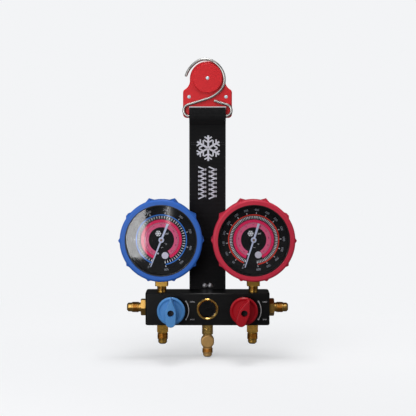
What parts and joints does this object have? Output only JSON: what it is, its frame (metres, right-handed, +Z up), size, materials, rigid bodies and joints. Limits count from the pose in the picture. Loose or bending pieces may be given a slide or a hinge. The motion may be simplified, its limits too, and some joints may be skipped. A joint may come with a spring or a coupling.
{
  "type": "refrigerant manifold gauge",
  "caption": "Hanging manifold block with a blue and a red pressure gauge in rubber boots, valve knobs, brass flare ports, a sight glass, a webbing strap and a magnetic hanger with a hook.",
  "frame": {"origin": "centre of the hanging magnet's flat back face", "axes": "+X to the right seen from the front, +Y to the back into the surface it hangs on, +Z up"},
  "size_m": [0.1922, 0.0749, 0.3261],
  "materials": {
    "bezel_black": "satin black",
    "block_black": "black anodised, glossy",
    "blue_boot": "satin rubber",
    "blue_knob": "satin moulding",
    "dial_black": "printed",
    "ferrite": "sintered ferrite, matte",
    "gauge_case": "satin black",
    "hanger_dark_red": "satin moulding",
    "hanger_red": "glossy moulding",
    "hook_wire": "bright plated wire",
    "lens_clear": "clear polycarbonate",
    "movement_brass": "machined",
    "plated_steel": "zinc plated",
    "pointer_white": "painted",
    "port_brass": "turned",
    "red_boot": "satin rubber",
    "red_knob": "satin moulding",
    "rivet_steel": "bright",
    "screw_metal": "turned heads",
    "seal_rubber": "moulded",
    "sight_backing": "matte",
    "sight_glass": "polished",
    "sight_ring": "turned and anodised",
    "webbing": "ribbed woven webbing"
  },
  "bodies": {
    "hanger": {"hanger_plate": "hanger_red", "hanger_back": "hanger_dark_red", "magnet_cup": "plated_steel", "magnet": "ferrite", "hanger_rivets": "rivet_steel", "strap_loop": "webbing"},
    "hook": {"hook": "hook_wire"},
    "low_pointer": {"low_pointer": "pointer_white", "low_pinion": "movement_brass"},
    "low_sector": {"low_sector": "movement_brass"},
    "low_link": {"low_link": "movement_brass"},
    "low_carriage": {"low_poppet": "movement_brass", "low_valve_seal": "seal_rubber"},
    "low_handle": {"low_spindle": "plated_steel", "low_knob": "blue_knob", "low_knob_screw": "rivet_steel"},
    "high_pointer": {"high_pointer": "pointer_white", "high_pinion": "movement_brass"},
    "high_sector": {"high_sector": "movement_brass"},
    "high_link": {"high_link": "movement_brass"},
    "high_carriage": {"high_poppet": "movement_brass", "high_valve_seal": "seal_rubber"},
    "high_handle": {"high_spindle": "plated_steel", "high_knob": "red_knob", "high_knob_screw": "rivet_steel"},
    "manifold": {"strap_webbing": "webbing", "strap_bracket": "plated_steel", "strap_rivets": "rivet_steel", "strap_screws": "rivet_steel", "block": "block_black", "sight_ring": "sight_ring", "sight_glass": "sight_glass", "sight_seal": "seal_rubber", "sight_backing": "sight_backing", "side_ports": "port_brass", "lower_ports": "port_brass", "centre_neck": "port_brass", "centre_body": "port_brass", "low_boot": "blue_boot", "low_case": "gauge_case", "low_bezel": "bezel_black", "low_lens": "lens_clear", "low_gasket": "seal_rubber", "low_dial": "dial_black", "low_dial_screws": "screw_metal", "low_bourdon_tube": "movement_brass", "low_movement_frame": "movement_brass", "low_socket": "movement_brass", "low_bonnet": "movement_brass", "high_boot": "red_boot", "high_case": "gauge_case", "high_bezel": "bezel_black", "high_lens": "lens_clear", "high_gasket": "seal_rubber", "high_dial": "dial_black", "high_dial_screws": "screw_metal", "high_bourdon_tube": "movement_brass", "high_movement_frame": "movement_brass", "high_socket": "movement_brass", "high_bonnet": "movement_brass"}
  },
  "joints": [
    {"name": "strap_swing", "type": "hinge", "parent": "hanger", "child": "manifold", "pos_m": [0, -0.0126, -0.0526], "axis": [1, 0, 0], "range_deg": [-80, 80]},
    {"name": "hook_fold", "type": "hinge", "parent": "hanger", "child": "hook", "pos_m": [0, -0.0178, -0.0415], "axis": [1, 0, 0], "range_deg": [0, 100]},
    {"name": "low_sector_turn", "type": "hinge", "parent": "manifold", "child": "low_sector", "pos_m": [-0.0392, -0.0299, -0.19371], "axis": [0, -1, 0], "range_deg": [0, 37.5], "stiffness_Nm_per_rad": 0.005},
    {"name": "low_pointer_turn", "type": "hinge", "parent": "manifold", "child": "low_pointer", "pos_m": [-0.05, -0.0299, -0.175], "axis": [0, 1, 0], "range_deg": [0, 300]},
    {"name": "low_link_turn", "type": "hinge", "parent": "low_sector", "child": "low_link", "pos_m": [-0.03826, -0.0299, -0.19841], "axis": [0, -1, 0], "range_deg": [-37.5, 0]},
    {"name": "low_valve_slide", "type": "slide", "parent": "manifold", "child": "low_carriage", "axis": [0, -1, 0], "range_m": [0, 0.0025]},
    {"name": "low_valve_turn", "type": "hinge", "parent": "low_carriage", "child": "low_handle", "pos_m": [-0.039, -0.0459, -0.2496], "axis": [0, -1, 0], "range_deg": [0, 900]},
    {"name": "high_sector_turn", "type": "hinge", "parent": "manifold", "child": "high_sector", "pos_m": [0.0608, -0.0299, -0.19371], "axis": [0, -1, 0], "range_deg": [0, 37.5], "stiffness_Nm_per_rad": 0.005},
    {"name": "high_pointer_turn", "type": "hinge", "parent": "manifold", "child": "high_pointer", "pos_m": [0.05, -0.0299, -0.175], "axis": [0, 1, 0], "range_deg": [0, 300]},
    {"name": "high_link_turn", "type": "hinge", "parent": "high_sector", "child": "high_link", "pos_m": [0.06174, -0.0299, -0.19841], "axis": [0, -1, 0], "range_deg": [-37.5, 0]},
    {"name": "high_valve_slide", "type": "slide", "parent": "manifold", "child": "high_carriage", "axis": [0, -1, 0], "range_m": [0, 0.0025]},
    {"name": "high_valve_turn", "type": "hinge", "parent": "high_carriage", "child": "high_handle", "pos_m": [0.039, -0.0459, -0.2496], "axis": [0, -1, 0], "range_deg": [0, 900]}
  ],
  "couplings": [
    {"joint": "low_pointer_turn", "follows": "low_sector_turn", "ratio": 8},
    {"joint": "low_link_turn", "follows": "low_sector_turn", "ratio": -1},
    {"joint": "low_valve_turn", "follows": "low_valve_slide", "rad_per_m": 6283.2},
    {"joint": "high_pointer_turn", "follows": "high_sector_turn", "ratio": 8},
    {"joint": "high_link_turn", "follows": "high_sector_turn", "ratio": -1},
    {"joint": "high_valve_turn", "follows": "high_valve_slide", "rad_per_m": 6283.2}
  ]
}
